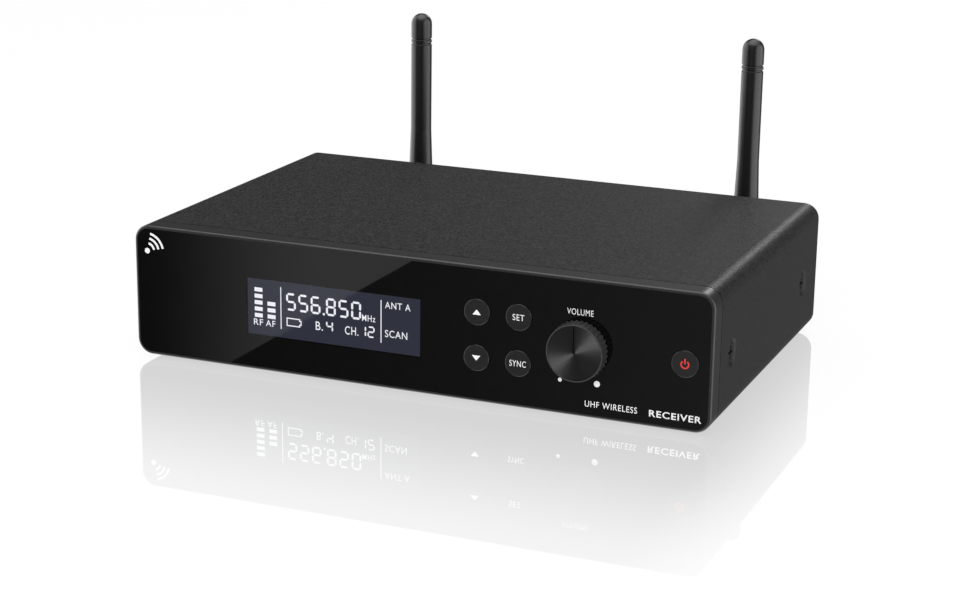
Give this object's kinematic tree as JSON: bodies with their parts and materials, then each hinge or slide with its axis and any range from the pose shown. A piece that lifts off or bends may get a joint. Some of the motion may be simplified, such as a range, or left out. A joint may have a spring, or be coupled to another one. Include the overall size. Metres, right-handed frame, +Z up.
{
  "type": "wireless microphone receiver",
  "caption": "Half-rack wireless microphone receiver with a glossy front panel, display, volume knob, push buttons and folding rear antennas.",
  "frame": {"origin": "on the surface it stands on, under the middle of the whole object's box", "axes": "+X to the right as seen from the front, -Y out of the front panel, +Z up"},
  "size_m": [0.2, 0.1656, 0.0973],
  "materials": {
    "cover_paint": "fine textured dark grey powder coat",
    "bezel_paint": "satin dark grey paint",
    "rear_paint": "matt black powder coat",
    "chassis_steel": "matt black powder coat on steel",
    "panel_gloss": "high gloss black",
    "window_tint": "clear gloss with a grey tint",
    "lcd_face": "smooth blue-grey",
    "button_plastic": "satin black",
    "knob_body": "satin black",
    "knob_metal": "spun, black anodised",
    "antenna_rubber": "smooth satin black",
    "antenna_black": "satin black",
    "foot_rubber": "matt black",
    "screw_black": "black zinc",
    "steel_bright": "satin",
    "nickel_plate": "bright nickel",
    "brass_part": "satin",
    "tin_plate": "bright tin plate",
    "black_plastic": "moulded matt black",
    "white_plastic": "moulded white",
    "switch_case": "moulded black",
    "switch_stem": "moulded brown",
    "led_lens": "clear red",
    "circuit_board": "green solder mask",
    "capacitor_sleeve": "shrink sleeve",
    "ribbon_grey": "grey ribbon"
  },
  "bodies": {
    "housing": {"bnc_contacts": "brass_part", "bnc_insulators": "white_plastic", "bnc_nuts": "nickel_plate", "bnc_shells": "nickel_plate", "bnc_washers": "nickel_plate", "board_screws": "steel_bright", "board_standoffs": "brass_part", "bottom_chassis": "chassis_steel", "cable_hook": "black_plastic", "capacitors": "capacitor_sleeve", "dc_inlet": "black_plastic", "dc_pin": "nickel_plate", "display_window": "window_tint", "feet": "foot_rubber", "front_bezel": "bezel_paint", "front_panel": "panel_gloss", "ic_packages": "black_plastic", "jack_body": "black_plastic", "jack_nut": "nickel_plate", "lcd_glass": "lcd_face", "lcd_holder": "white_plastic", "main_board": "circuit_board", "pot_body": "steel_bright", "pot_nut": "steel_bright", "rear_panel": "rear_paint", "rear_screws": "screw_black", "rf_shields": "tin_plate", "ribbon_cable": "ribbon_grey", "ribbon_sockets": "black_plastic", "side_screws": "screw_black", "status_led": "led_lens", "tact_switches": "switch_case", "top_cover": "cover_paint", "ui_board": "circuit_board", "xlr_insert": "black_plastic", "xlr_pins": "nickel_plate", "xlr_screws": "screw_black", "xlr_shell": "black_plastic"},
    "button_up_body": {"button_up": "button_plastic", "tact_stem_up": "switch_stem"},
    "button_down_body": {"button_down": "button_plastic", "tact_stem_down": "switch_stem"},
    "button_set_body": {"button_set": "button_plastic", "tact_stem_set": "switch_stem"},
    "button_sync_body": {"button_sync": "button_plastic", "tact_stem_sync": "switch_stem"},
    "button_power_body": {"button_power": "button_plastic", "tact_stem_power": "switch_stem"},
    "volume_knob_body": {"volume_knob": "knob_body", "knob_face": "knob_metal", "pot_shaft": "steel_bright"},
    "coupling_left": {"antenna_ring_left": "antenna_black"},
    "swivel_left": {"antenna_base_left": "antenna_black", "antenna_pin_left": "steel_bright"},
    "rod_left": {"antenna_rod_left": "antenna_rubber"},
    "coupling_right": {"antenna_ring_right": "antenna_black"},
    "swivel_right": {"antenna_base_right": "antenna_black", "antenna_pin_right": "steel_bright"},
    "rod_right": {"antenna_rod_right": "antenna_rubber"}
  },
  "joints": [
    {"name": "volume_turn", "type": "hinge", "parent": "housing", "child": "volume_knob_body", "pos_m": [0.0572, -0.08, 0.0232], "axis": [0, 1, 0], "range_deg": [-150, 150]},
    {"name": "up_press", "type": "slide", "parent": "housing", "child": "button_up_body", "axis": [0, 1, 0], "range_m": [0, 0.0005], "stiffness_N_per_m": 2500, "springref_m": -0.00012},
    {"name": "down_press", "type": "slide", "parent": "housing", "child": "button_down_body", "axis": [0, 1, 0], "range_m": [0, 0.0005], "stiffness_N_per_m": 2500, "springref_m": -0.00012},
    {"name": "set_press", "type": "slide", "parent": "housing", "child": "button_set_body", "axis": [0, 1, 0], "range_m": [0, 0.0005], "stiffness_N_per_m": 2500, "springref_m": -0.00012},
    {"name": "sync_press", "type": "slide", "parent": "housing", "child": "button_sync_body", "axis": [0, 1, 0], "range_m": [0, 0.0005], "stiffness_N_per_m": 2500, "springref_m": -0.00012},
    {"name": "power_press", "type": "slide", "parent": "housing", "child": "button_power_body", "axis": [0, 1, 0], "range_m": [0, 0.0005], "stiffness_N_per_m": 2500, "springref_m": -0.00012},
    {"name": "antenna_lock_left", "type": "hinge", "parent": "housing", "child": "coupling_left", "pos_m": [-0.0655, 0.057, 0.02375], "axis": [0, 1, 0], "range_deg": [0, 90]},
    {"name": "antenna_swivel_left", "type": "hinge", "parent": "housing", "child": "swivel_left", "pos_m": [-0.0655, 0.059, 0.02375], "axis": [0, 1, 0], "range_deg": [-90, 90]},
    {"name": "antenna_fold_left", "type": "hinge", "parent": "swivel_left", "child": "rod_left", "pos_m": [-0.0655, 0.078, 0.02375], "axis": [-1, 0, 0], "range_deg": [0, 90]},
    {"name": "antenna_lock_right", "type": "hinge", "parent": "housing", "child": "coupling_right", "pos_m": [0.0655, 0.057, 0.02375], "axis": [0, 1, 0], "range_deg": [0, 90]},
    {"name": "antenna_swivel_right", "type": "hinge", "parent": "housing", "child": "swivel_right", "pos_m": [0.0655, 0.059, 0.02375], "axis": [0, 1, 0], "range_deg": [-90, 90]},
    {"name": "antenna_fold_right", "type": "hinge", "parent": "swivel_right", "child": "rod_right", "pos_m": [0.0655, 0.078, 0.02375], "axis": [-1, 0, 0], "range_deg": [0, 90]}
  ]
}
